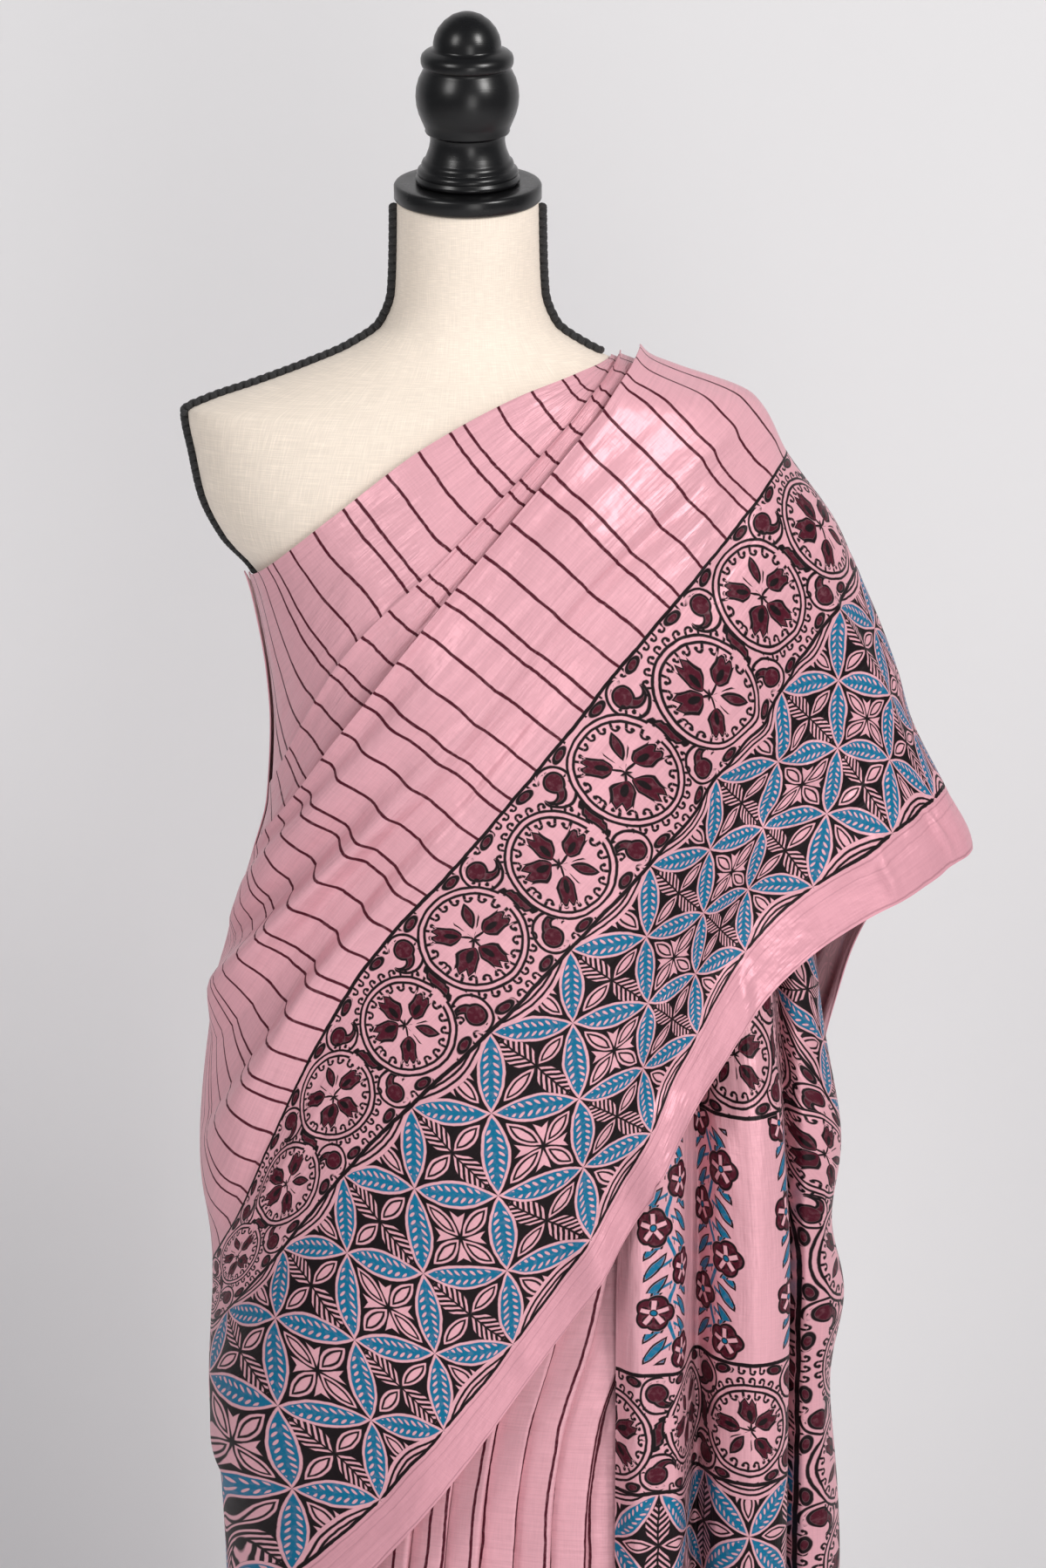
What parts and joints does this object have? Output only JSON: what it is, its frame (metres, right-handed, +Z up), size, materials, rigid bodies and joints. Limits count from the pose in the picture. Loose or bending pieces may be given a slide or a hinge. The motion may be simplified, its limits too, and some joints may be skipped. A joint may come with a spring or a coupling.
{
  "type": "silk saree on dress form",
  "caption": "Block-printed silk saree draped over one shoulder of a limbless covered dress form on a round stand, its loose end hanging behind and beside the hip.",
  "frame": {"origin": "on the floor, at the centre of the stand's round base", "axes": "+Z up, front towards -Y, +X towards the wearer's left, where the loose end falls from the shoulder"},
  "size_m": [0.5635, 0.3785, 1.6502],
  "materials": {
    "silk": "woven silk with a soft sheen, dusty pink, block printed in maroon, black and blue",
    "form_cover": "cream linen, matt, smooth over the form",
    "braid": "black woven braid, matt",
    "black_wood": "turned wood in satin black lacquer"
  },
  "bodies": {
    "root": {"form_torso": "form_cover", "form_braid_left": "braid", "form_braid_right": "braid", "neck_cap": "black_wood", "neck_knob": "black_wood", "stand_pole": "black_wood", "stand_base": "black_wood", "first_wrap": "silk", "front_pleats": "silk", "second_wrap": "silk", "top_pleat": "silk", "middle_pleat": "silk", "front_drape": "silk", "pallu_back": "silk", "pallu_end": "silk"}
  },
  "joints": []
}
